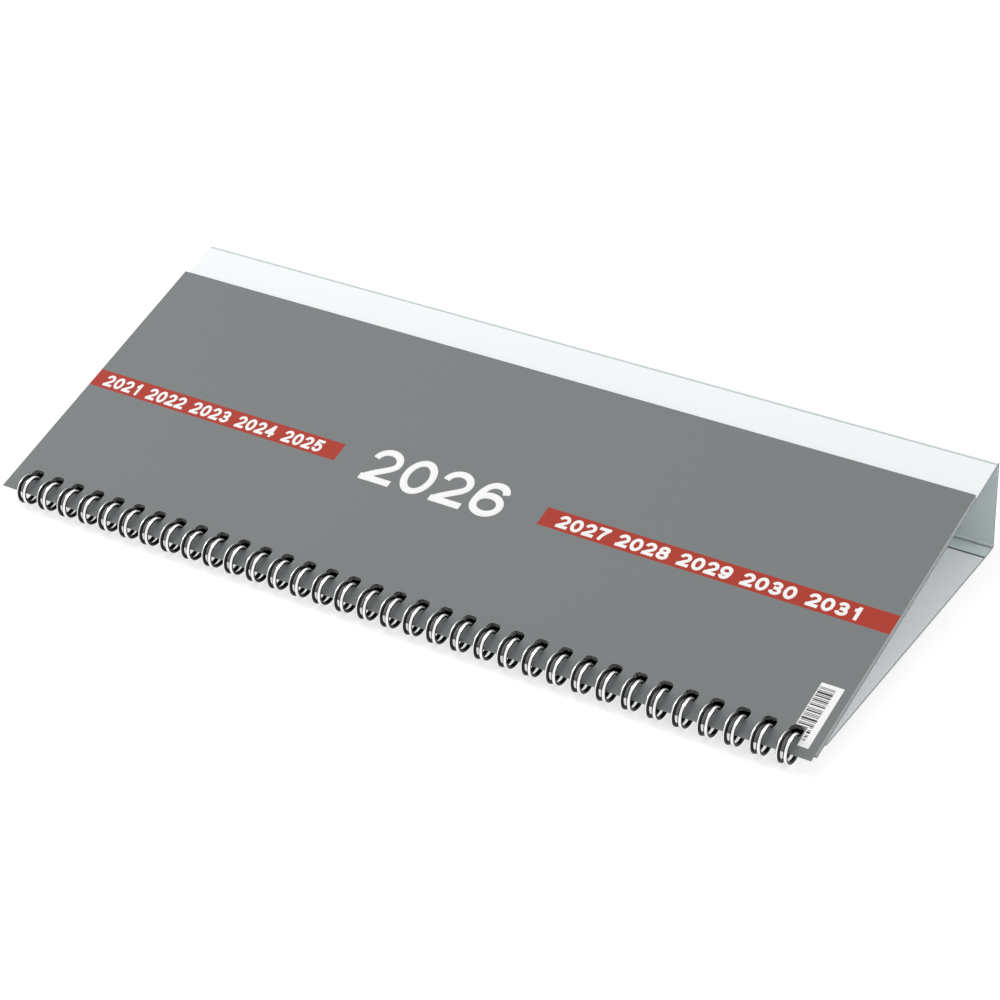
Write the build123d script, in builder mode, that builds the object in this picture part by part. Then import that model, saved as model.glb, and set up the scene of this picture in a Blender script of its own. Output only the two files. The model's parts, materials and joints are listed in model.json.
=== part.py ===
from build123d import *
import math
import os

# Landscape desk calendar: leaves bound in a twin-loop wire on a folded card stand.
# Millimetres, +Z up, +X along the wire, +Y towards the back.
# The origin is the middle of the footprint, on the surface that the calendar stands on.

# Sheets
sheet_width = 297.0
cover_depth = 105.0
cover_thickness = 0.25
leaf_thickness = 0.08
sheet_gap = 0.03
month_count = 12
slope_angle = 11.9

# Twin-loop wire, three loops to the inch
inch = 25.4
loops_per_inch = 3
end_margin = 8.0
loop_radius = 4.2
wire_diameter = 1.3
loop_pair_width = 2.3
wire_self_gap = 0.5
closure_angle = -38.0
sample_step = 0.25

# How the sheets lie in the wire, as heights above its axis and clearances
block_bottom_height = 0.2
edge_clearance = 0.2
hole_side_clearance = 0.4
hole_depth = 4.0
hole_corner_radius = 1.5

# Card stand
card_thickness = 0.6
crease_gap = 0.15
rear_ledge = 14.9
wall_lean = 8.3
heel_strip_depth = 5.8
score_width = 0.6
score_depth = 0.35
wire_clearance = 0.45
tuck_gap = 0.3

# Leaves, from the top of the block down
leaf_names = ["leaf_month_%02d" % (month + 1) for month in range(month_count)]

# Worked out from the sizes above
slope = math.radians(slope_angle)
wire_radius = wire_diameter / 2
loop_inner_radius = loop_radius - wire_radius
loop_outer_radius = loop_radius + wire_radius
axis_height = loop_outer_radius
half_width = sheet_width / 2

leaf_step = leaf_thickness + sheet_gap
block_top_height = block_bottom_height + len(leaf_names) * leaf_step
cover_top_height = block_top_height + cover_thickness
support_bottom = block_bottom_height - sheet_gap - card_thickness

# The cover's front edge stays inside the loops, and the loops pass through the front of each hole
cover_front_margin = math.sqrt((loop_inner_radius - edge_clearance) ** 2 - cover_top_height ** 2)
cover_back = cover_depth - cover_front_margin
support_reach = cover_back + rear_ledge
hole_width = loop_pair_width + wire_diameter + 2 * hole_side_clearance
hole_front = math.sqrt(loop_inner_radius ** 2 - cover_top_height ** 2) - edge_clearance
hole_centre_distance = hole_front + hole_depth / 2

loop_pitch = inch / loops_per_inch
loop_count = int((sheet_width - 2 * end_margin) / loop_pitch) + 1
loop_span = (loop_count - 1) * loop_pitch
loop_places = [loop_pitch * index - loop_span / 2 for index in range(loop_count)]
hole_places = [(x, hole_centre_distance) for x in loop_places]


def from_axis(distance, height):
    """World y and z, measured from the wire's axis, of a point given along the slope and square to it."""
    y = distance * math.cos(slope) - height * math.sin(slope)
    z = distance * math.sin(slope) + height * math.cos(slope)
    return y, z


crease_reach = from_axis(support_reach, support_bottom)[0]
axis_y = (loop_outer_radius - crease_reach - card_thickness) / 2


def in_world(distance, height):
    """World y and z of a point given along the slope and square to it, from the wire's axis."""
    y, z = from_axis(distance, height)
    return axis_y + y, axis_height + z


top_crease = Vector(*in_world(support_reach, support_bottom))
heel_drop = top_crease.Y - card_thickness
heel_crease = Vector(top_crease.X - heel_drop * math.tan(math.radians(wall_lean)), card_thickness)
strip_front = heel_crease.X - heel_strip_depth
tuck_edge = Vector(*in_world(loop_outer_radius + wire_clearance, support_bottom - tuck_gap))

slope_plane = Plane(
    origin=(0, axis_y, axis_height),
    x_dir=(1, 0, 0),
    z_dir=(0, -math.sin(slope), math.cos(slope)),
)
end_plane = Plane.YZ.offset(-half_width)

os.makedirs("parts", exist_ok=True)


def finish(piece, name):
    piece.part.label = name
    export_step(piece.part, "parts/" + name + ".step")


def punched_sheet(front, back, bottom, thickness):
    """A flat sheet on the slope, from front to back, with a rounded hole for each loop."""
    with BuildPart() as sheet:
        with BuildSketch(slope_plane.offset(bottom)):
            with Locations((0, (front + back) / 2)):
                Rectangle(sheet_width, back - front)
            with Locations(*hole_places):
                RectangleRounded(hole_width, hole_depth, hole_corner_radius, mode=Mode.SUBTRACT)
        extrude(amount=thickness)
    return sheet


def panel(*corners):
    """A flat panel of the stand, from the corners of its end face."""
    with BuildPart() as slab:
        with BuildSketch(end_plane):
            with BuildLine():
                Polyline(*corners, close=True)
            make_face()
        extrude(amount=sheet_width)
    return slab


# Cover
front_cover = punched_sheet(-cover_front_margin, cover_back, block_top_height, cover_thickness)
finish(front_cover, "front_cover")

# Each leaf ends at the wire's axis, so it can turn over the wire without meeting the leaf below
for index, name in enumerate(leaf_names):
    leaf_bottom = block_top_height - (index + 1) * leaf_step
    leaf = punched_sheet(0, cover_back, leaf_bottom, leaf_thickness)
    finish(leaf, name)

# Card stand
support_back = support_reach - card_thickness - crease_gap
support_panel = punched_sheet(0, support_back, support_bottom, card_thickness)
finish(support_panel, "support_panel")

wall_line = (top_crease - heel_crease).normalized()
wall_outward = Vector(wall_line.Y, -wall_line.X) * card_thickness

# The wall carries the rounded fold of the crease at both of its edges
with BuildPart() as back_wall:
    with BuildSketch(end_plane):
        with BuildLine():
            Polyline(
                heel_crease,
                top_crease,
                top_crease + wall_outward,
                heel_crease + wall_outward,
                close=True,
            )
        make_face()
        with Locations(heel_crease, top_crease):
            Circle(card_thickness)
    extrude(amount=sheet_width)
finish(back_wall, "back_wall")

# The heel strip and the base meet in a scored crease, a groove along the top of the card
strip_back = heel_crease.X - card_thickness - crease_gap
score_top = Vector(strip_front, card_thickness)
score_bottom = score_top - Vector(0, score_depth)
base_line = (tuck_edge - score_top).normalized()

heel_strip = panel(
    (strip_front, 0),
    (strip_back, 0),
    (strip_back, card_thickness),
    score_top + Vector(score_width / 2, 0),
    score_bottom,
)
finish(heel_strip, "heel_strip")

base_panel = panel(
    (strip_front, 0),
    score_bottom,
    score_top + base_line * score_width / 2,
    tuck_edge,
    tuck_edge - Vector(0, card_thickness),
)
finish(base_panel, "base_panel")

# Twin-loop wire: each loop runs round the axis from the spine to its tip and back beside itself
full_turn = 360
arcs_per_turn = 4
bend_radius = loop_pair_width / 2
bend_spacing = loop_pair_width + wire_diameter + wire_self_gap
closure_length = math.sqrt(bend_spacing ** 2 - loop_pair_width ** 2)
closure_half = math.degrees(closure_length / loop_radius) / 2
spine_angle = closure_angle + closure_half
tip_angle = full_turn + closure_angle - closure_half


def on_loop(x, angle):
    turn = math.radians(angle)
    return Vector(x, axis_y + loop_radius * math.cos(turn), axis_height + loop_radius * math.sin(turn))


def along_loop(angle):
    turn = math.radians(angle)
    return Vector(0, -math.sin(turn), math.cos(turn))


def round_the_axis(x, first, last):
    """Arcs round the axis at one place along the wire, from the first angle to the last."""
    step = (last - first) / arcs_per_turn
    for index in range(arcs_per_turn):
        start = first + index * step
        yield ThreePointArc(on_loop(x, start), on_loop(x, start + step / 2), on_loop(x, start + step))


def quarter_bend(centre, arm, heading):
    """A quarter bend about a centre, from the end of arm, setting off along heading."""
    diagonal = (arm + heading) * math.cos(math.pi / 4)
    return ThreePointArc(centre + arm, centre + diagonal, centre + heading)


def double_loop(x):
    """One loop of the wire: out from the spine, round the tip and back."""
    tip_centre = on_loop(x, tip_angle)
    tip_out = along_loop(tip_angle) * bend_radius
    yield from round_the_axis(x - bend_radius, spine_angle, tip_angle)
    yield quarter_bend(tip_centre, -along_x, tip_out)
    yield quarter_bend(tip_centre, tip_out, along_x)
    yield from round_the_axis(x + bend_radius, tip_angle, spine_angle)


def spine_link(x, next_x):
    """The straight link along the spine from one loop to the next, with its two bends."""
    spine_out = along_loop(spine_angle) * -bend_radius
    first_centre = on_loop(x, spine_angle) + along_x * 2
    last_centre = on_loop(next_x, spine_angle) - along_x * 2
    yield quarter_bend(first_centre, -along_x, spine_out)
    yield Line(first_centre + spine_out, last_centre + spine_out)
    yield quarter_bend(last_centre, spine_out, along_x)


def least_self_gap(runs):
    """Least clear gap between stretches of the wire that lie more than a half bend apart along it."""
    points = []
    travel = 0
    for run in runs:
        steps = math.ceil(run.length / sample_step)
        for index in range(steps):
            points.append((travel + run.length * index / steps, run @ (index / steps)))
        travel += run.length
    apart = math.pi * bend_radius
    gaps = [
        (point - other).length
        for place, point in points
        for other_place, other in points
        if other_place - place > apart
    ]
    return min(gaps) - wire_diameter


along_x = Vector(bend_radius, 0, 0)
with BuildPart() as binding_wire:
    with BuildLine() as wire_path:
        wire_runs = list(double_loop(loop_places[0]))
        for x, next_x in zip(loop_places, loop_places[1:]):
            wire_runs += spine_link(x, next_x)
            wire_runs += double_loop(next_x)
    wire_line = wire_path.wires()[0]
    with BuildSketch(Plane(wire_line @ 0, z_dir=wire_line % 0)):
        Circle(wire_radius)
    sweep(path=wire_line)
finish(binding_wire, "binding_wire")

# Two neighbouring loops show every gap that the wire has
runs_per_loop = 2 * arcs_per_turn + 5
print("least gap of the wire to itself, mm", round(least_self_gap(wire_runs[: 2 * runs_per_loop]), 3))
print("loops", loop_count, "wire length, mm", round(wire_line.length, 1))
section_volume = math.pi * wire_radius ** 2 * wire_line.length
print("wire volume over section times length", round(binding_wire.part.volume / section_volume, 6))
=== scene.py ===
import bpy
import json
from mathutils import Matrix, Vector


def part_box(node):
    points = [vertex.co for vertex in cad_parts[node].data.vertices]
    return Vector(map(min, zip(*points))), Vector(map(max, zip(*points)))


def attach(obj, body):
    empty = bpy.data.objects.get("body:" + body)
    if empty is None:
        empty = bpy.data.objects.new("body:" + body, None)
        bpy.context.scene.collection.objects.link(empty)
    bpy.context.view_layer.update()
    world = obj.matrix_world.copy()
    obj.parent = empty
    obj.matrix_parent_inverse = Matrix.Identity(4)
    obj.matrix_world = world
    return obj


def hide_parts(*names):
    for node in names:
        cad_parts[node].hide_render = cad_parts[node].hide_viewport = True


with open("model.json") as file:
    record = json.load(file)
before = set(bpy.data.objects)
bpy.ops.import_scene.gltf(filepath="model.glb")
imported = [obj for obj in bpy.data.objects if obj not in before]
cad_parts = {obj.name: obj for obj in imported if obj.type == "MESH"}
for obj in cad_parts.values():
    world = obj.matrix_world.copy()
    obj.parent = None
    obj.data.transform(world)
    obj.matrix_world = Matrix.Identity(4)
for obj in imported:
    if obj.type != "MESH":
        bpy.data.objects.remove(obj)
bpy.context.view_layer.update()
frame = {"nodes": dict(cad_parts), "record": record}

import calendar
import json
import math
from collections import namedtuple

import bpy
from mathutils import Matrix, Vector

# Sizes in metres. The sheets lie on a slope that rises from the wire's axis.
MM = 0.001
SLOPE = math.radians(11.9)
COVER_TOP = 1.77 * MM
LEAF_TOP, LEAF_STEP = 1.49 * MM, 0.11 * MM
MONTHS = range(1, 13)

# Wire and holes
WIRE_DIAMETER = 1.3 * MM
LOOP_RADIUS = 4.2 * MM
PAIR_WIDTH = 2.3 * MM
LOOP_COUNT = 34
LOOP_PITCH = 25.4 / 3 * MM
CLOSURE_ANGLE = math.radians(-38)
CLOSURE_LENGTH = 3.394 * MM
HOLE_WIDTH, HOLE_DEPTH, HOLE_MIDDLE = 4.4 * MM, 4.0 * MM, 4.877 * MM
HOLE_SKIN = 0.02 * MM
LOOP_STEPS, TIP_STEPS, LINK_STEPS = 40, 10, 5
WIRE_ROUNDING = 4
SMOOTH_ANGLE = math.radians(50)

# Painted shade of the stand: in its creases, and on the front rim of its base, which lies under the holes
RIM_SHADE_DEPTH = 3.0 * MM
HEEL_HEIGHT = 1.3 * MM
SCORE_HALF = 0.36 * MM
BACK_SCORE_SHARE = 0.35

# Print on the cover, in cover coordinates
YEAR = 2026
YEAR_BOX = (112.6 * MM, 44.7 * MM, 51.5 * MM, 14.2 * MM)
YEAR_STROKE = 1.22 * MM
BAND_MIDDLE, BAND_HALF = 51.95 * MM, 3.65 * MM
LEFT_BAND_END, RIGHT_BAND_START = 101.0 * MM, 177.5 * MM
BAND_YEAR_FRONT, BAND_YEAR_HEIGHT = 49.4 * MM, 5.0 * MM
PAST_LEFTS = [left * MM for left in (4.6, 22.8, 41.3, 59.9, 78.8)]
PAST_WIDTH, PAST_STROKE = 15.4 * MM, 0.52 * MM
COMING_LEFTS = [left * MM for left in (183.3, 204.4, 225.7, 247.2, 268.9)]
COMING_WIDTH, COMING_STROKE = 17.9 * MM, 0.58 * MM

# Label, cut away round the last hole
LABEL_LEFT, LABEL_RIGHT = 287.0 * MM, 294.3 * MM
LABEL_FRONT, LABEL_BACK = 3.4 * MM, 25.8 * MM
LABEL_NOTCH_RIGHT, LABEL_NOTCH_BACK = 290.8 * MM, 10.1 * MM
BAR_WIDTH, BAR_MARGIN = 0.24 * MM, 2.08 * MM
BAR_LEFT_MARGIN, BAR_RIGHT_MARGIN = 0.3 * MM, 2.1 * MM
# Steps from bar to bar, in bar widths: 1 widens a bar, 2 or more leaves white between
LABEL_STEPS = (
    2, 3, 1, 2, 3, 1, 1, 2, 4, 2, 1, 2, 3, 2, 1, 1, 3, 2, 2, 3,
    1, 2, 2, 4, 1, 2, 3, 2, 1, 2, 3, 1, 2, 2, 1, 1, 2, 3, 2,
)

# Print on the leaves, in cover coordinates
GRID_LEFT, COLUMN = 9.0 * MM, 9.0 * MM
GRID_FRONT, GRID_BACK, HEADER_FRONT = 14.0 * MM, 92.0 * MM, 84.0 * MM
ROW = 10.0 * MM
RULE = 0.09 * MM
WEEK = 7
BEFORE_WEEKEND = 4.5
LEAF_STROKE = 0.26 * MM
DAY_LIFT, DAY_HEIGHT, FIGURE_WIDTH = 2.4 * MM, 3.2 * MM, 1.9 * MM
MONTH_LIFT, MONTH_HEIGHT, MONTH_WIDTH = 2.2 * MM, 5.5 * MM, 8 * MM
# The leaves' small numerals keep every third or second point of their strokes
DAY_POINTS, MONTH_POINTS = 3, 2

# Ink: half its thickness, its lift off the sheet, and the rise of each stroke over the one it crosses
INK_HALF = 0.004 * MM
INK_LIFT = 0.002 * MM
INK_LAYER = 0.003 * MM
FIGURE_SPACE = 0.16
ARC_STEPS = 12
SAME_PLACE = 1e-9

# Stage
WHITE = (1, 1, 1, 1)
WORLD_LEVEL = 0.63
FLOOR_SIZE, FLOOR_DROP = 6, 0.01 * MM
FLOOR_GLOW = 0.66
FLOOR_BOUNCE, FLOOR_SEEN = (0.85, 0.85, 0.85, 1), (0.5, 0.5, 0.5, 1)
CAMERA_PLACE = (461.35 * MM, -586.90 * MM, 560.56 * MM)
CAMERA_TURN = tuple(math.radians(angle) for angle in (53.2112, 5.9727, 33.2483))
CAMERA_LENS, SENSOR_WIDTH, NEAREST = 107.143, 36, 0.01

joints = {joint["name"]: joint for joint in frame["record"]["behaviour"]["joints"]}
wire_axis = Vector(joints["cover_turn"]["pos_m"])
cover_low, cover_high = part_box("front_cover")
sheet_width = cover_high[0] - cover_low[0]
strip_low, strip_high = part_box("heel_strip")
strip_front, strip_back = strip_low[1], strip_high[1]
base_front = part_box("base_panel")[0][1]
front_margin = (wire_axis.y - cover_low[1] - COVER_TOP * math.sin(SLOPE)) / math.cos(SLOPE)

slope_turn = Matrix.Rotation(SLOPE, 4, "X")
# Cover coordinates: x from the left edge, y up the slope from the front edge, z off the printed face
cover_corner = wire_axis + slope_turn @ Vector((-sheet_width / 2, -front_margin, COVER_TOP))
cover_place = Matrix.Translation(cover_corner) @ slope_turn


def ink(red, green, blue):
    """Linear colour of an ink given in screen values from 0 to 255."""
    channels = []
    for value in (red, green, blue):
        share = value / 255
        channels.append(share / 12.92 if share <= 0.04045 else ((share + 0.055) / 1.055) ** 2.4)
    return (*channels, 1)


COVER_GREY = ink(123, 127, 128)
BAND_RED = ink(175, 52, 34)
PAPER_WHITE = ink(243, 243, 240)
CARD_WHITE = ink(251, 254, 255)
# Painted shade on the inside of the stand
CARD_INSIDE_SHADE = ink(226, 237, 237)
CARD_END = ink(122, 126, 128)
# Painted shade in the stand's creases
SCORE_SHADE = ink(104, 108, 110)
CUT_EDGE = ink(150, 154, 156)
EDGE_GREY = ink(150, 154, 155)
# Near-black painted shade, on the walls of the punched holes and on the base's front rim under them
HOLE_SHADE = ink(8, 8, 9)
RULE_GREY = ink(196, 199, 200)
HEADER_GREY = ink(218, 221, 222)
WEEKEND_TINT = ink(243, 222, 216)
INK_WHITE = ink(255, 255, 254)
NUMERAL_GREY = ink(66, 69, 70)
LABEL_BLACK = (0.01, 0.01, 0.01, 1)
# Black coating of the wire, and the bright metal of its painted highlight
WIRE_BLACK, WIRE_HIGHLIGHT = (0.006, 0.006, 0.007, 1), (0.9, 0.9, 0.91, 1)

# Surfaces: sizes of the grain, gloss patches and tooth, and the ranges that they span
Surface = namedtuple("Surface", "grain shade patch roughness tooth depth strength sheen")
COVER_SURFACE = Surface(0.6 * MM, (0.97, 1.03), 1.5 * MM, (0.5, 0.62), 0.25 * MM, 0.01 * MM, 0.35, 0.3)
LEAF_SURFACE = Surface(0.8 * MM, (0.985, 1.015), 1.2 * MM, (0.6, 0.75), 0.2 * MM, 0.01 * MM, 0.3, 0.4)
CARD_CLOUD, CARD_SHADE = 4 * MM, (0.98, 1.0)
FIBRE, FIBRE_DETAIL, FIBRE_HARSHNESS = 0.35 * MM, 6, 0.7
CARD_ROUGHNESS, CARD_SHEEN = (0.5, 0.68), 0.3
FIBRE_DEPTH, FIBRE_STRENGTH = 0.02 * MM, 0.3
INK_GRAIN = 0.6 * MM
WHITE_INK_SHADE, WHITE_INK_ROUGHNESS = (0.98, 1.0), 0.55
GREY_INK_SHADE, GREY_INK_ROUGHNESS = (0.94, 1.06), 0.6
# How squarely the wire's painted highlight faces outward, from its rim to its middle, and how far it turns
# aside
HIGHLIGHT_FACING = (0.76, 0.84)
HIGHLIGHT_TURN = math.radians(30)
RAGGED_GRAIN, RAGGED = 0.5 * MM, (-0.05, 0.05)
WIRE_PATCH, WIRE_ROUGHNESS, WIRE_SHEEN = 0.8 * MM, (0.2, 0.3), 0.3
# A face counts as facing a way when this much of its normal points there
FACES = 0.5


class Finish:
    """A material under construction: its nodes, with short ways to add and join them."""

    def __init__(self, name):
        self.material = bpy.data.materials.new(name)
        self.material.use_nodes = True
        self.nodes = self.material.node_tree.nodes
        self.links = self.material.node_tree.links
        self.shader = self.nodes["Principled BSDF"]

    def add(self, kind, **values):
        node = self.nodes.new("ShaderNode" + kind)
        for key, value in values.items():
            setattr(node, key, value)
        return node

    def feed(self, socket, value):
        """Sets a socket to a value, or joins another node's output to it."""
        if isinstance(value, bpy.types.NodeSocket):
            self.links.new(value, socket)
        else:
            socket.default_value = value

    def math(self, operation, *inputs):
        node = self.add("Math", operation=operation)
        for socket, value in zip(node.inputs, inputs):
            self.feed(socket, value)
        return node.outputs[0]

    def vector(self, operation, *inputs):
        node = self.add("VectorMath", operation=operation)
        for socket, value in zip(node.inputs, inputs):
            self.feed(socket, value)
        return node.outputs["Value" if operation == "DOT_PRODUCT" else "Vector"]

    def axes(self, vector):
        """The three parts of a vector."""
        node = self.add("SeparateXYZ")
        self.feed(node.inputs[0], vector)
        return node.outputs

    def mix(self, share, first, second):
        node = self.add("Mix", data_type="RGBA")
        for index, value in ((0, share), (6, first), (7, second)):
            self.feed(node.inputs[index], value)
        return node.outputs[2]

    def place(self):
        """Object coordinates, in metres."""
        return self.add("TexCoord").outputs["Object"]

    def normal(self):
        return self.add("TexCoord").outputs["Normal"]

    def cover_axes(self):
        """Cover coordinates as three separate values."""
        mapping = self.add("Mapping", vector_type="POINT")
        self.feed(mapping.inputs["Vector"], self.place())
        mapping.inputs["Rotation"].default_value = (-SLOPE, 0, 0)
        mapping.inputs["Location"].default_value = -(slope_turn.inverted() @ cover_corner)
        return self.axes(mapping.outputs[0])

    def facing(self):
        """How far a surface faces off the sheet: 1 on its top face, 0 on its cut edges, -1 below."""
        return self.vector("DOT_PRODUCT", self.normal(), (0, -math.sin(SLOPE), math.cos(SLOPE)))

    def cut_edge(self, face):
        """1 on the cut edges of a sheet."""
        return self.math("LESS_THAN", self.math("ABSOLUTE", face), FACES)

    def noise(self, size, detail=4, roughness=0.6):
        """Noise with features of about one size, in metres."""
        noise = self.add("TexNoise")
        noise.inputs["Scale"].default_value = 1 / size
        noise.inputs["Detail"].default_value = detail
        noise.inputs["Roughness"].default_value = roughness
        self.feed(noise.inputs["Vector"], self.place())
        return noise.outputs["Fac"]

    def spread(self, value, low, high):
        """A value from 0 to 1 spread over a range."""
        node = self.add("MapRange")
        self.feed(node.inputs["Value"], value)
        node.inputs["To Min"].default_value = low
        node.inputs["To Max"].default_value = high
        return node.outputs["Result"]

    def shade(self, colour, value, low, high):
        """A colour made a little darker or lighter by a value from 0 to 1."""
        node = self.add("HueSaturation")
        self.feed(node.inputs["Value"], self.spread(value, low, high))
        self.feed(node.inputs["Color"], colour)
        return node.outputs["Color"]

    def bump(self, height, depth, strength):
        node = self.add("Bump")
        node.inputs["Distance"].default_value = depth
        node.inputs["Strength"].default_value = strength
        self.feed(node.inputs["Height"], height)
        self.set("Normal", node.outputs["Normal"])

    def set(self, name, value):
        """Sets one of the shader's inputs."""
        self.feed(self.shader.inputs[name], value)

    def sheen(self, level, dull):
        """Sheen at one level, and none where dull is 1."""
        self.set("Specular IOR Level", self.math("MULTIPLY", self.math("SUBTRACT", 1.0, dull), level))

    def band(self, value, middle, half):
        """1 where a value lies within half of the middle."""
        return self.math("COMPARE", value, middle, half)

    def between(self, value, low, high):
        """1 where a value lies between two others."""
        return self.band(value, (low + high) / 2, (high - low) / 2)

    def off_step(self, value):
        """How far a value lies above the nearest whole number."""
        return self.math("SUBTRACT", value, self.math("ROUND", value))

    def sheet(self, colour, surface, dull):
        """The surface of a printed sheet, with no sheen where dull is 1."""
        self.set("Base Color", self.shade(colour, self.noise(surface.grain), *surface.shade))
        self.set("Roughness", self.spread(self.noise(surface.patch), *surface.roughness))
        self.sheen(surface.sheen, dull)
        self.bump(self.noise(surface.tooth), surface.depth, surface.strength)

    def card(self, colour):
        """Fibrous matt surface of card."""
        fibres = self.noise(FIBRE, FIBRE_DETAIL, FIBRE_HARSHNESS)
        self.set("Base Color", colour)
        self.set("Roughness", self.spread(fibres, *CARD_ROUGHNESS))
        self.set("Specular IOR Level", CARD_SHEEN)
        self.bump(fibres, FIBRE_DEPTH, FIBRE_STRENGTH)

    def card_stock(self):
        return self.shade(CARD_WHITE, self.noise(CARD_CLOUD), *CARD_SHADE)

    def off_loop(self, across, middle):
        """How far a place lies to the right of the nearest loop, in pitches, from the middle of the row."""
        first = middle - (LOOP_COUNT - 1) / 2 * LOOP_PITCH
        return self.off_step(self.math("DIVIDE", self.math("SUBTRACT", across, first), LOOP_PITCH))

    def hole_walls(self, edge, across, up):
        """1 on the walls of the punched holes, which lie on a regular pitch along the front edge. These walls
        get painted shade.
        """
        aside = self.math("ABSOLUTE", self.off_loop(across, sheet_width / 2))
        near = self.math("LESS_THAN", aside, (HOLE_WIDTH / 2 + HOLE_SKIN) / LOOP_PITCH)
        row = self.band(up, front_margin + HOLE_MIDDLE, HOLE_DEPTH / 2 + HOLE_SKIN)
        in_row = self.band(across, sheet_width / 2, LOOP_COUNT / 2 * LOOP_PITCH)
        return self.math("MULTIPLY", edge, self.math("MULTIPLY", self.math("MULTIPLY", near, row), in_row))


def printed_cover():
    """Grey printed card with two red bands."""
    finish = Finish("printed_cover_card")
    across, up, _ = finish.cover_axes()
    left_band = finish.math("LESS_THAN", across, LEFT_BAND_END)
    right_band = finish.math("GREATER_THAN", across, RIGHT_BAND_START)
    in_height = finish.band(up, BAND_MIDDLE, BAND_HALF)
    bands = finish.math("MULTIPLY", in_height, finish.math("ADD", left_band, right_band))
    face = finish.facing()
    edge = finish.cut_edge(face)
    # The walls of the holes get near-black painted shade, with no sheen
    hole = finish.hole_walls(edge, across, up)
    stock = finish.mix(bands, COVER_GREY, BAND_RED)
    stock = finish.mix(finish.math("LESS_THAN", face, -FACES), stock, PAPER_WHITE)
    stock = finish.mix(edge, stock, EDGE_GREY)
    finish.sheet(finish.mix(hole, stock, HOLE_SHADE), COVER_SURFACE, hole)
    return finish.material


def stand_card():
    """White card of the panel under the leaves, with grey cut ends and near-black painted shade on the walls
    of its holes.
    """
    finish = Finish("stand_card")
    across, up, _ = finish.cover_axes()
    edge = finish.cut_edge(finish.facing())
    # The walls of the holes get near-black painted shade, with no sheen
    hole = finish.hole_walls(edge, across, up)
    stock = finish.mix(edge, finish.card_stock(), CARD_END)
    finish.card(finish.mix(hole, stock, HOLE_SHADE))
    finish.sheen(CARD_SHEEN, hole)
    return finish.material


def folded_card():
    """White card of the wall and base, with grey cut ends, painted shade in the creases, on the inside and
    low on the heel strip, and near-black painted shade on the front rim.
    """
    finish = Finish("folded_card")
    across, along, height = finish.axes(finish.place())
    sideways, backward, upward = finish.axes(finish.normal())
    cut_end = finish.math("GREATER_THAN", finish.math("ABSOLUTE", sideways), FACES)
    low = finish.math("LESS_THAN", height, HEEL_HEIGHT)
    # Painted shade along the two creases, low on the card, and fainter at the back crease
    front_score_shade = finish.math("MULTIPLY", finish.band(along, strip_front, SCORE_HALF), low)
    back_score_shade = finish.math("MULTIPLY", finish.band(along, strip_back, SCORE_HALF), low)
    # Painted shade on the faces that face the front, such as the wall's inside, and on the low part of the
    # heel strip
    inside = finish.math("LESS_THAN", backward, -FACES)
    strip = finish.between(along, strip_front, strip_back)
    shaded = finish.math("MAXIMUM", inside, finish.math("MULTIPLY", strip, low))
    stock = finish.mix(shaded, finish.card_stock(), CARD_INSIDE_SHADE)
    stock = finish.mix(front_score_shade, stock, SCORE_SHADE)
    stock = finish.mix(finish.math("MULTIPLY", back_score_shade, BACK_SCORE_SHARE), stock, SCORE_SHADE)
    stock = finish.mix(cut_end, stock, CARD_END)
    # The base's front rim, seen through the holes, gets near-black painted shade with no sheen
    upper = finish.math("GREATER_THAN", upward, -FACES)
    front = finish.math("MULTIPLY", upper, finish.math("LESS_THAN", along, base_front + RIM_SHADE_DEPTH))
    rim = finish.math("MULTIPLY", front, finish.band(across, wire_axis.x, LOOP_COUNT / 2 * LOOP_PITCH))
    finish.card(finish.mix(rim, stock, HOLE_SHADE))
    finish.sheen(CARD_SHEEN, rim)
    return finish.material


def leaf_paper(month):
    """Paper of one month's leaf, ruled into a column for each day."""
    first_weekday, days = calendar.monthrange(YEAR, month)
    finish = Finish("leaf_paper_%02d" % month)
    across, up, _ = finish.cover_axes()
    column = finish.math("DIVIDE", finish.math("SUBTRACT", across, GRID_LEFT), COLUMN)
    row = finish.math("DIVIDE", finish.math("SUBTRACT", up, GRID_FRONT), ROW)
    day = finish.math("ADD", finish.math("FLOOR", column), first_weekday + WEEK)
    weekend = finish.math("GREATER_THAN", finish.math("MODULO", day, WEEK), BEFORE_WEEKEND)
    in_width = finish.between(across, GRID_LEFT - RULE, GRID_LEFT + days * COLUMN + RULE)
    in_depth = finish.between(up, GRID_FRONT - RULE, GRID_BACK + RULE)
    in_grid = finish.math("MULTIPLY", in_width, in_depth)
    header = finish.math("GREATER_THAN", up, HEADER_FRONT)
    upright = finish.math("LESS_THAN", finish.math("ABSOLUTE", finish.off_step(column)), RULE / COLUMN)
    level = finish.math("LESS_THAN", finish.math("ABSOLUTE", finish.off_step(row)), RULE / ROW)
    tint = finish.mix(weekend, PAPER_WHITE, WEEKEND_TINT)
    tint = finish.mix(header, tint, finish.mix(weekend, HEADER_GREY, WEEKEND_TINT))
    ruled = finish.mix(finish.math("MAXIMUM", upright, level), tint, RULE_GREY)
    face = finish.facing()
    top = finish.math("GREATER_THAN", face, FACES)
    edge = finish.cut_edge(face)
    # The walls of the holes get near-black painted shade, with no sheen
    hole = finish.hole_walls(edge, across, up)
    stock = finish.mix(finish.math("MULTIPLY", in_grid, top), PAPER_WHITE, ruled)
    stock = finish.mix(edge, stock, CUT_EDGE)
    finish.sheet(finish.mix(hole, stock, HOLE_SHADE), LEAF_SURFACE, hole)
    return finish.material


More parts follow.
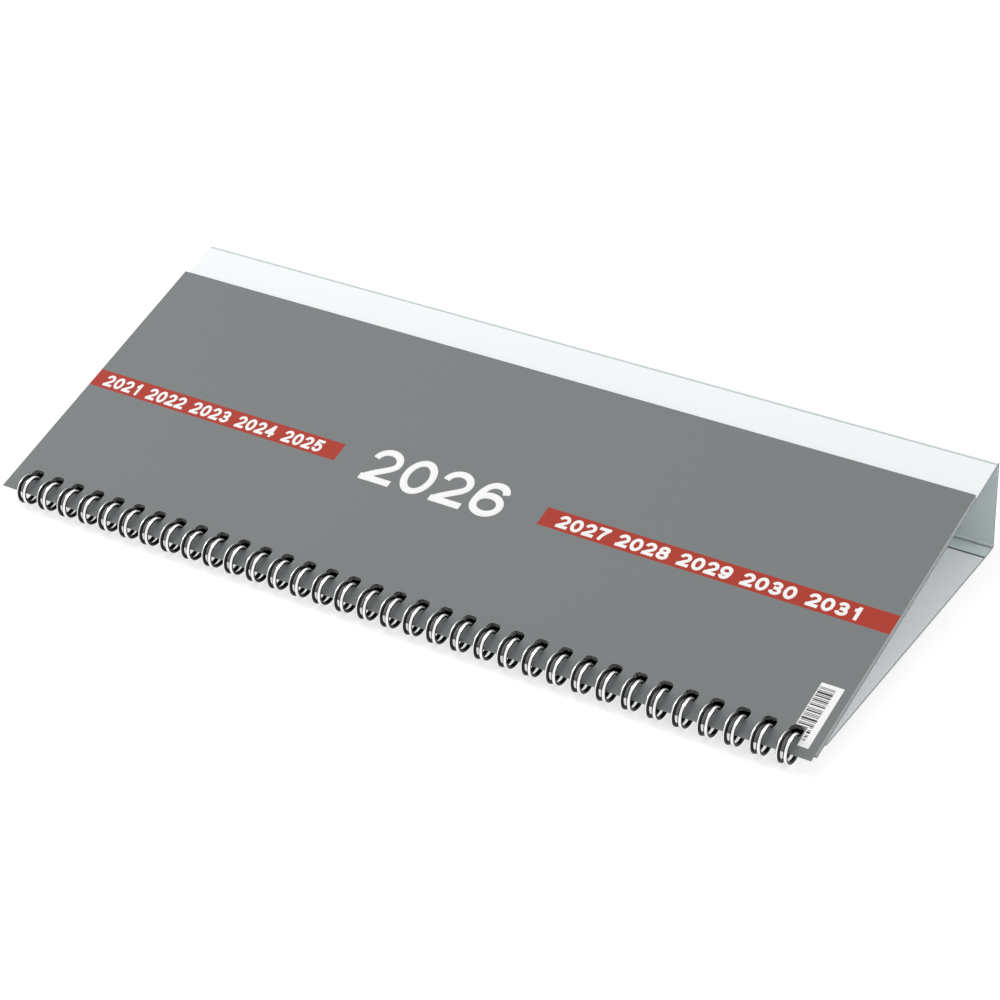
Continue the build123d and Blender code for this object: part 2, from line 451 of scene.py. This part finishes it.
def coated_wire():
    """Black coating, with a painted highlight of bright metal along the outer sides of every loop's two
    wires.
    """
    finish = Finish("coated_wire")
    off_axis = finish.vector("SUBTRACT", finish.place(), wire_axis)
    radial = finish.vector("NORMALIZE", finish.vector("MULTIPLY", off_axis, (0, 1, 1)))
    across, _, _ = finish.axes(finish.place())
    side = finish.math("SIGN", finish.off_loop(across, wire_axis.x))
    sideways = finish.add("CombineXYZ")
    finish.feed(sideways.inputs[0], finish.math("MULTIPLY", side, math.tan(HIGHLIGHT_TURN)))
    outer = finish.vector("NORMALIZE", finish.vector("ADD", radial, sideways.outputs[0]))
    facing = finish.vector("DOT_PRODUCT", outer, finish.normal())
    ragged = finish.spread(finish.noise(RAGGED_GRAIN), *RAGGED)
    line = finish.add("MapRange")
    finish.feed(line.inputs["Value"], finish.math("ADD", facing, ragged))
    line.inputs["From Min"].default_value, line.inputs["From Max"].default_value = HIGHLIGHT_FACING
    painted_highlight = line.outputs["Result"]
    # Painted highlight: bright metal on the side of each wire that faces outward
    finish.set("Base Color", finish.mix(painted_highlight, WIRE_BLACK, WIRE_HIGHLIGHT))
    finish.set("Metallic", painted_highlight)
    finish.set("Roughness", finish.spread(finish.noise(WIRE_PATCH), *WIRE_ROUGHNESS))
    finish.set("Specular IOR Level", WIRE_SHEEN)
    return finish.material


def printing_ink(name, colour, shade, roughness):
    finish = Finish(name)
    finish.set("Base Color", finish.shade(colour, finish.noise(INK_GRAIN), *shade))
    finish.set("Roughness", roughness)
    return finish.material


def dress(obj, material):
    obj.data.materials.clear()
    obj.data.materials.append(material)


def pick(obj):
    """Makes a piece the only one that is selected."""
    bpy.ops.object.select_all(action="DESELECT")
    obj.select_set(True)
    bpy.context.view_layer.objects.active = obj


def add_object(name, data):
    obj = bpy.data.objects.new(name, data)
    bpy.context.scene.collection.objects.link(obj)
    return obj


def add_mesh(name, curve):
    """A mesh made from a curve."""
    pick(add_object(name, curve))
    bpy.ops.object.convert(target="MESH")
    return bpy.context.object


def settle(obj, place):
    """Puts a finished piece in place, with the place in its mesh."""
    obj.matrix_world = place
    pick(obj)
    bpy.ops.object.transform_apply(location=True, rotation=True, scale=True)


def arc(middle, reach, start, end):
    """Points on an ellipse from one angle to another, in degrees."""
    angles = [math.radians(start + (end - start) * step / ARC_STEPS) for step in range(ARC_STEPS + 1)]
    return [(middle[0] + reach[0] * math.cos(a), middle[1] + reach[1] * math.sin(a)) for a in angles]


def bend(*corners):
    """Points on a smooth bend, from its first point by two guide points to its last."""
    points = []
    for step in range(ARC_STEPS + 1):
        t = step / ARC_STEPS
        shares = ((1 - t) ** 3, 3 * t * (1 - t) ** 2, 3 * t * t * (1 - t), t ** 3)
        points.append(tuple(sum(share * corner[i] for share, corner in zip(shares, corners)) for i in (0, 1)))
    return points


def ring(middle, reach):
    """Points all round an ellipse."""
    quarters = [arc(middle, reach, start, start + 90) for start in (90, 180, 270, 360)]
    return quarters[0] + quarters[1][1:] + quarters[2][1:] + quarters[3][1:]


def plain_numerals():
    """Strokes of the ten numerals, drawn in a box one wide and one high."""
    two_head = arc((0.5, 0.68), (0.48, 0.32), 176, 0)
    two = two_head[:-1] + bend((0.98, 0.68), (0.98, 0.46), (0.5, 0.36), (0.03, 0.03))
    six_head = bend((0.95, 0.77), (0.9, 0.93), (0.75, 1), (0.54, 1))
    six = six_head[:-1] + bend((0.54, 1), (0.17, 1), (0, 0.7), (0, 0.32))
    six_bowl = ring((0.5, 0.31), (0.5, 0.31))
    return {
        "0": [ring((0.5, 0.5), (0.5, 0.5))],
        "1": [
            [(0.62, 0), (0.62, 1)],
            bend((0.12, 0.76), (0.4, 0.77), (0.55, 0.86), (0.58, 1)),
        ],
        "2": [two, [(0, 0), (1, 0)]],
        "3": [
            arc((0.48, 0.755), (0.43, 0.245), 172, -90),
            [(0.42, 0.51), (0.5, 0.51)],
            arc((0.5, 0.26), (0.5, 0.26), 90, -172),
        ],
        "4": [
            [(0.74, 0), (0.74, 1)],
            [(0, 0.26), (1, 0.26)],
            [(0.66, 0.94), (0.06, 0.33)],
        ],
        "5": [
            [(0.18, 1), (0.92, 1)],
            [(0.18, 1), (0.1, 0.52)],
            arc((0.48, 0.33), (0.52, 0.33), 150, -168),
        ],
        "6": [six, six_bowl],
        "7": [
            [(0, 1), (1, 1)],
            bend((1, 0.98), (0.6, 0.62), (0.38, 0.34), (0.32, -0.12)),
        ],
        "8": [ring((0.5, 0.765), (0.43, 0.235)), ring((0.5, 0.265), (0.5, 0.265))],
        "9": [[(1 - x, 1 - y) for x, y in stroke] for stroke in (six, six_bowl)],
    }


NUMERALS = plain_numerals()


class Print:
    """Printed strokes gathered in one curve, then made a thin mesh on a sheet."""

    def __init__(self, name, half):
        self.name = name
        self.half = half
        self.curve = bpy.data.curves.new(name, "CURVE")
        self.curve.dimensions = "3D"
        self.curve.bevel_resolution = 0
        self.curve.use_fill_caps = True
        self.curve.extrude = half - INK_HALF
        self.curve.bevel_depth = INK_HALF

    def stroke(self, points, closed, layer):
        """One stroke. A stroke that crosses another lies a layer above it."""
        spline = self.curve.splines.new("POLY")
        spline.points.add(len(points) - 1)
        for target, (x, y) in zip(spline.points, points):
            target.co = (x, y, layer * INK_LAYER, 1)
            target.tilt = math.pi / 2
        spline.use_cyclic_u = closed

    def numeral(self, figure, left, front, width, height, every):
        """One numeral filling a box."""
        half = self.half
        inner_width, inner_height = width - 2 * half, height - 2 * half
        for layer, shape in enumerate(NUMERALS[figure]):
            points = [(left + half + x * inner_width, front + half + y * inner_height) for x, y in shape]
            closed = len(points) > 2 and math.dist(points[0], points[-1]) < SAME_PLACE
            if len(points) == 2:
                (ax, ay), (bx, by) = points
                length = math.dist(points[0], points[1])
                ex, ey = (bx - ax) / length * half, (by - ay) / length * half
                points = [(ax - ex, ay - ey), (bx + ex, by + ey)]
            elif every > 1:
                points = points[:-1:every] + points[-1:]
            self.stroke(points[:-1] if closed else points, closed, layer)

    def number(self, words, left, front, width, height, every=1):
        """A row of numerals filling a box. Of their strokes it keeps one point in every few."""
        figure_width = width / (len(words) + FIGURE_SPACE * (len(words) - 1))
        for index, figure in enumerate(words):
            place = left + index * figure_width * (1 + FIGURE_SPACE)
            self.numeral(figure, place, front, figure_width, height, every)

    def lay(self, place, material, body):
        """Makes the strokes a mesh of ink, lying on a sheet."""
        obj = add_mesh(self.name, self.curve)
        settle(obj, place @ Matrix.Translation((0, 0, INK_HALF + INK_LIFT)))
        dress(obj, material)
        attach(obj, body)


def cover_numerals(material):
    """The year in the middle of the cover, and five years to each side of it in the bands."""
    year = Print("year_numerals", YEAR_STROKE)
    year.number(str(YEAR), *YEAR_BOX)
    year.lay(cover_place, material, "front_cover")
    past = Print("past_years", PAST_STROKE)
    for index, left in enumerate(PAST_LEFTS):
        words = str(YEAR - len(PAST_LEFTS) + index)
        past.number(words, left, BAND_YEAR_FRONT, PAST_WIDTH, BAND_YEAR_HEIGHT)
    past.lay(cover_place, material, "front_cover")
    coming = Print("coming_years", COMING_STROKE)
    for index, left in enumerate(COMING_LEFTS):
        coming.number(str(YEAR + 1 + index), left, BAND_YEAR_FRONT, COMING_WIDTH, BAND_YEAR_HEIGHT)
    coming.lay(cover_place, material, "front_cover")


def month_numerals(month, material):
    """Day numbers over the columns of one leaf, and the number of its month."""
    _, days = calendar.monthrange(YEAR, month)
    sheet = Print("leaf_print_%02d" % month, LEAF_STROKE)
    for day in range(1, days + 1):
        words = str(day)
        width = FIGURE_WIDTH * len(words)
        left = GRID_LEFT + (day - 0.5) * COLUMN - width / 2
        sheet.number(words, left, HEADER_FRONT + DAY_LIFT, width, DAY_HEIGHT, DAY_POINTS)
    sheet.number("%02d" % month, GRID_LEFT, GRID_BACK + MONTH_LIFT, MONTH_WIDTH, MONTH_HEIGHT, MONTH_POINTS)
    height = LEAF_TOP - COVER_TOP - (month - 1) * LEAF_STEP
    leaf_place = cover_place @ Matrix.Translation((0, 0, height))
    sheet.lay(leaf_place, material, "leaf_month_%02d" % month)


def flat_pieces(name, outlines, height):
    """Thin flat plates in one mesh, from their outlines, standing on the plane z = 0."""
    points, faces = [], []
    for outline in outlines:
        first, count = len(points), len(outline)
        low = [first + i for i in range(count)]
        high = [index + count for index in low]
        points += [(x, y, 0) for x, y in outline] + [(x, y, height) for x, y in outline]
        faces += [tuple(reversed(low)), tuple(high)]
        faces += [(low[i - 1], low[i], high[i], high[i - 1]) for i in range(count)]
    mesh = bpy.data.meshes.new(name)
    mesh.from_pydata(points, [], faces)
    return add_object(name, mesh)


def bar_outlines():
    """Outlines of the label's bars, from its front to its back."""
    spans = [[LABEL_FRONT + BAR_MARGIN, LABEL_FRONT + BAR_MARGIN + BAR_WIDTH]]
    for step in LABEL_STEPS:
        if step == 1:
            spans[-1][1] += BAR_WIDTH
        else:
            front = spans[-1][1] + (step - 1) * BAR_WIDTH
            spans.append([front, front + BAR_WIDTH])
    right = LABEL_RIGHT - BAR_RIGHT_MARGIN
    outlines = []
    for front, back in spans:
        left = BAR_LEFT_MARGIN + (LABEL_LEFT if front > LABEL_NOTCH_BACK else LABEL_NOTCH_RIGHT)
        outlines.append([(left, front), (right, front), (right, back), (left, back)])
    return outlines


def code_label(paper, bar_ink):
    """White label near the front corner, with plain bars that spell nothing."""
    outline = [
        (LABEL_NOTCH_RIGHT, LABEL_FRONT),
        (LABEL_RIGHT, LABEL_FRONT),
        (LABEL_RIGHT, LABEL_BACK),
        (LABEL_LEFT, LABEL_BACK),
        (LABEL_LEFT, LABEL_NOTCH_BACK),
        (LABEL_NOTCH_RIGHT, LABEL_NOTCH_BACK),
    ]
    label = flat_pieces("corner_label", [outline], 2 * INK_HALF)
    settle(label, cover_place @ Matrix.Translation((0, 0, INK_LIFT)))
    dress(label, paper)
    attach(label, "front_cover")

    bars = flat_pieces("label_bars", bar_outlines(), 2 * INK_HALF)
    settle(bars, cover_place @ Matrix.Translation((0, 0, 2 * INK_HALF + 2 * INK_LIFT)))
    dress(bars, bar_ink)
    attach(bars, "front_cover")


def wire_points():
    """The wire's centre line: each loop runs from the spine round the axis to its tip and back."""
    half_gap = CLOSURE_LENGTH / LOOP_RADIUS / 2
    first, last = CLOSURE_ANGLE + half_gap, 2 * math.pi + CLOSURE_ANGLE - half_gap
    turns = [first + (last - first) * step / LOOP_STEPS for step in range(LOOP_STEPS + 1)]
    reach = PAIR_WIDTH / 2

    def on_loop(x, angle, beyond=0.0):
        out = Vector((x, LOOP_RADIUS * math.cos(angle), LOOP_RADIUS * math.sin(angle)))
        along = Vector((0, -math.sin(angle), math.cos(angle)))
        return wire_axis + out + along * beyond

    def link_bend(x, side):
        """The quarter bend from one side of a loop into the straight link beside it."""
        for step in range(1, LINK_STEPS):
            swing = math.pi / 2 * step / LINK_STEPS
            aside = 2 * reach - reach * math.cos(swing)
            yield on_loop(x + side * aside, first, -reach * math.sin(swing))

    points = []
    for number in range(LOOP_COUNT):
        x = (number - (LOOP_COUNT - 1) / 2) * LOOP_PITCH
        if number > 0:
            points += reversed(list(link_bend(x, -1)))
        points += [on_loop(x - reach, turn) for turn in turns]
        for step in range(1, TIP_STEPS):
            swing = math.pi * step / TIP_STEPS
            points.append(on_loop(x - reach * math.cos(swing), last, reach * math.sin(swing)))
        points += [on_loop(x + reach, turn) for turn in reversed(turns)]
        if number < LOOP_COUNT - 1:
            points += link_bend(x, 1)
    return points


def binding_wire():
    """The wire as one smooth tube, in the place of the CAD wire."""
    points = wire_points()
    curve = bpy.data.curves.new("binding_wire_loops", "CURVE")
    curve.dimensions = "3D"
    curve.bevel_depth = WIRE_DIAMETER / 2
    curve.bevel_resolution = WIRE_ROUNDING
    curve.use_fill_caps = True
    spline = curve.splines.new("POLY")
    spline.points.add(len(points) - 1)
    for target, point in zip(spline.points, points):
        target.co = (*point, 1)
    obj = add_mesh("binding_wire_loops", curve)
    bpy.ops.object.shade_smooth_by_angle(angle=SMOOTH_ANGLE)
    dress(obj, coated_wire())
    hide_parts("binding_wire")
    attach(obj, "stand_and_wire")


def floor_white():
    """White to the camera and in reflections, and a plain pale floor to the light."""
    finish = Finish("floor_white")
    rays = finish.add("LightPath").outputs
    mirrored = finish.math("MAXIMUM", rays["Is Glossy Ray"], rays["Is Transmission Ray"])
    seen = finish.math("MAXIMUM", rays["Is Camera Ray"], mirrored)
    finish.set("Base Color", finish.mix(seen, FLOOR_BOUNCE, FLOOR_SEEN))
    finish.set("Roughness", 0.9)
    finish.set("Specular IOR Level", 0.0)
    finish.set("Emission Color", WHITE)
    finish.set("Emission Strength", finish.math("MULTIPLY", seen, FLOOR_GLOW))
    return finish.material


def stage():
    """White floor, a world that is white to the camera and dimmer to the light, and two softboxes."""
    bpy.ops.object.select_all(action="DESELECT")
    bpy.ops.mesh.primitive_plane_add(size=FLOOR_SIZE, location=(0, 0, -FLOOR_DROP))
    floor = bpy.context.object
    floor.name = "floor"
    dress(floor, floor_white())

    world = bpy.data.worlds.new("studio")
    bpy.context.scene.world = world
    world.use_nodes = True
    nodes, links = world.node_tree.nodes, world.node_tree.links
    background = nodes["Background"]
    background.inputs["Color"].default_value = WHITE
    path = nodes.new("ShaderNodeLightPath")
    level = None
    for ray in ("Is Camera Ray", "Is Glossy Ray", "Is Transmission Ray"):
        node = nodes.new("ShaderNodeMath")
        node.operation = "MAXIMUM"
        links.new(path.outputs[ray], node.inputs[0])
        node.inputs[1].default_value = WORLD_LEVEL
        if level:
            links.new(level.outputs[0], node.inputs[1])
        level = node
    links.new(level.outputs[0], background.inputs["Strength"])

    softbox("side_softbox", place=(-0.85, 0.0, 1.0), aim=(0, 0, 0), length=2.2, width=0.16, power=8.5)
    softbox("end_softbox", place=(1.1, 0.45, 0.35), aim=(0.1, 0, 0), length=0.6, width=0.5, power=3.5)


def softbox(name, place, aim, length, width, power):
    light = bpy.data.lights.new(name, "AREA")
    light.shape = "RECTANGLE"
    light.size, light.size_y = width, length
    light.energy = power
    lamp = add_object(name, light)
    lamp.location = place
    lamp.rotation_euler = (Vector(aim) - Vector(place)).to_track_quat("-Z", "Y").to_euler()


def camera():
    """The photo's camera."""
    data = bpy.data.cameras.new("photo_camera")
    data.lens = CAMERA_LENS
    data.sensor_width = SENSOR_WIDTH
    data.clip_start = NEAREST
    obj = add_object("photo_camera", data)
    obj.location = CAMERA_PLACE
    obj.rotation_euler = CAMERA_TURN
    bpy.context.scene.camera = obj


bpy.context.scene.view_settings.view_transform = "Standard"
camera()
stage()
card = stand_card()
folded = folded_card()
for node_name, node in frame["nodes"].items():
    if node_name == "front_cover":
        dress(node, printed_cover())
    elif node_name.startswith("leaf_month_"):
        dress(node, leaf_paper(int(node_name[-2:])))
    elif node_name in ("back_wall", "heel_strip", "base_panel"):
        dress(node, folded)
    else:
        dress(node, card)
binding_wire()

white_ink = printing_ink("white_ink", INK_WHITE, WHITE_INK_SHADE, WHITE_INK_ROUGHNESS)
grey_ink = printing_ink("grey_ink", NUMERAL_GREY, GREY_INK_SHADE, GREY_INK_ROUGHNESS)
label_ink = printing_ink("label_ink", LABEL_BLACK, GREY_INK_SHADE, GREY_INK_ROUGHNESS)
cover_numerals(white_ink)
code_label(white_ink, label_ink)
for month in MONTHS:
    month_numerals(month, grey_ink)
